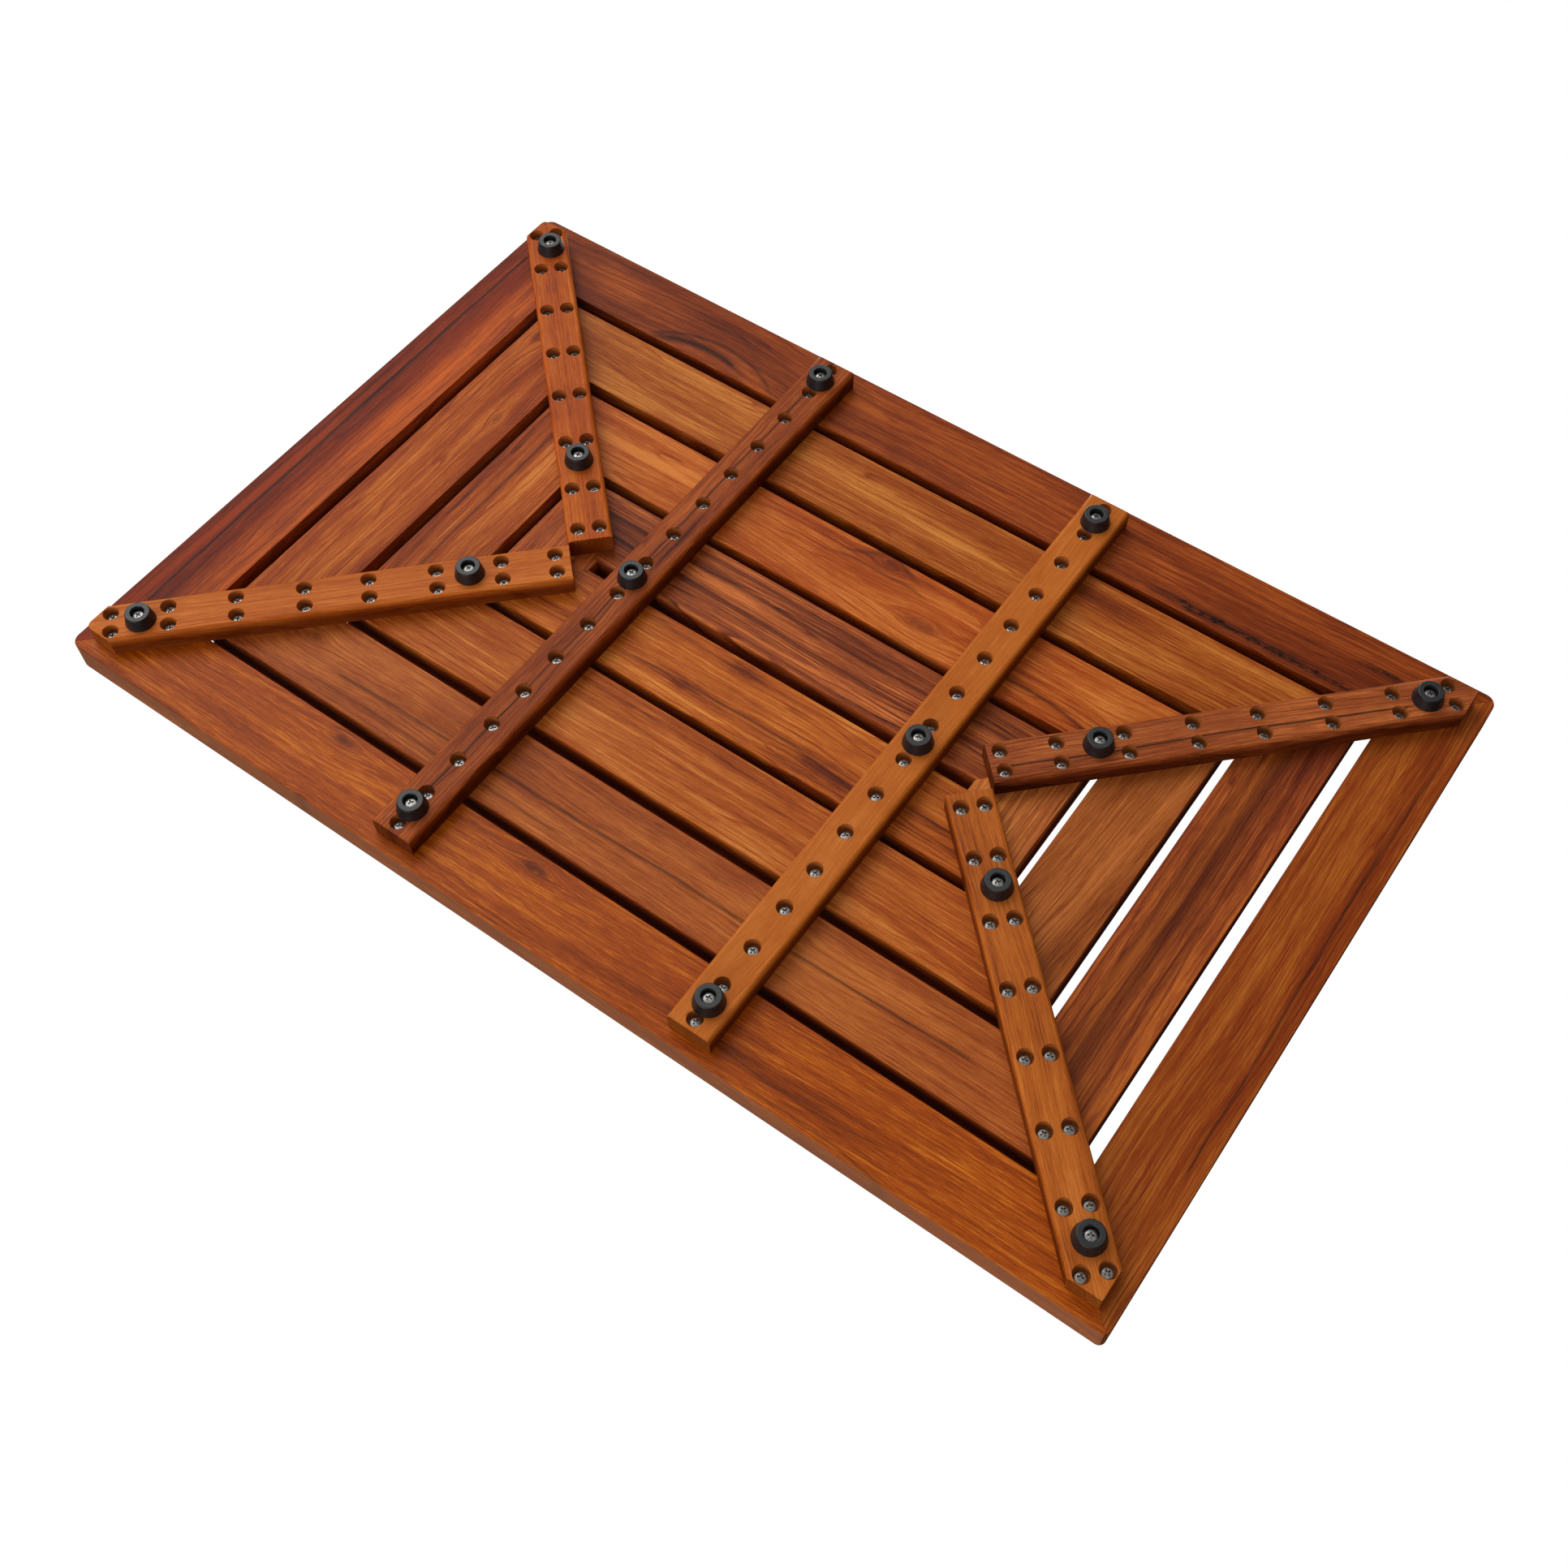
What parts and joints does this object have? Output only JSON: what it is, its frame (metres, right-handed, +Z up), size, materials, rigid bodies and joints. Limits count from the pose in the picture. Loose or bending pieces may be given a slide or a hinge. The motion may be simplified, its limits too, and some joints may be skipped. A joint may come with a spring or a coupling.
{
  "type": "wooden bath mat",
  "caption": "Slatted teak bath mat of concentric mitred slat rings, screwed to cross and corner battens and raised on round rubber feet.",
  "frame": {"origin": "middle of the footprint, on the surface that the feet stand on", "axes": "+Z up out of the walking surface, long sides along X, front at -Y"},
  "size_m": [0.8, 0.5068, 0.0458],
  "materials": {
    "teak": "oiled, satin",
    "teak_front": "oiled, satin",
    "teak_dark": "oiled, satin",
    "teak_pale": "oiled, satin",
    "teak_honey": "oiled, satin",
    "rubber": "satin",
    "zinc": "bright zinc"
  },
  "bodies": {
    "root": {"outer_slat_front": "teak_front", "outer_slat_back": "teak_dark", "outer_slat_left": "teak", "outer_slat_right": "teak_dark", "second_slat_front": "teak_pale", "second_slat_back": "teak", "second_slat_left": "teak_dark", "second_slat_right": "teak_pale", "third_slat_front": "teak", "third_slat_back": "teak", "third_slat_left": "teak_pale", "third_slat_right": "teak", "inner_slat_front": "teak", "inner_slat_back": "teak_dark", "inner_slat_left": "teak_dark", "inner_slat_right": "teak", "cross_batten_left": "teak_honey", "cross_batten_right": "teak_dark", "corner_batten_front_right": "teak_honey", "corner_batten_back_right": "teak", "corner_batten_back_left": "teak_dark", "corner_batten_front_left": "teak_honey", "foot_cross_left_front": "rubber", "foot_cross_left_middle": "rubber", "foot_cross_left_back": "rubber", "foot_cross_right_front": "rubber", "foot_cross_right_middle": "rubber", "foot_cross_right_back": "rubber", "foot_front_right_outer": "rubber", "foot_front_right_inner": "rubber", "foot_back_right_outer": "rubber", "foot_back_right_inner": "rubber", "foot_back_left_outer": "rubber", "foot_back_left_inner": "rubber", "foot_front_left_outer": "rubber", "foot_front_left_inner": "rubber", "screws_cross_left": "zinc", "screws_cross_right": "zinc", "screws_front_right": "zinc", "screws_back_right": "zinc", "screws_back_left": "zinc", "screws_front_left": "zinc", "foot_washers": "zinc", "foot_screws": "zinc"}
  },
  "joints": []
}
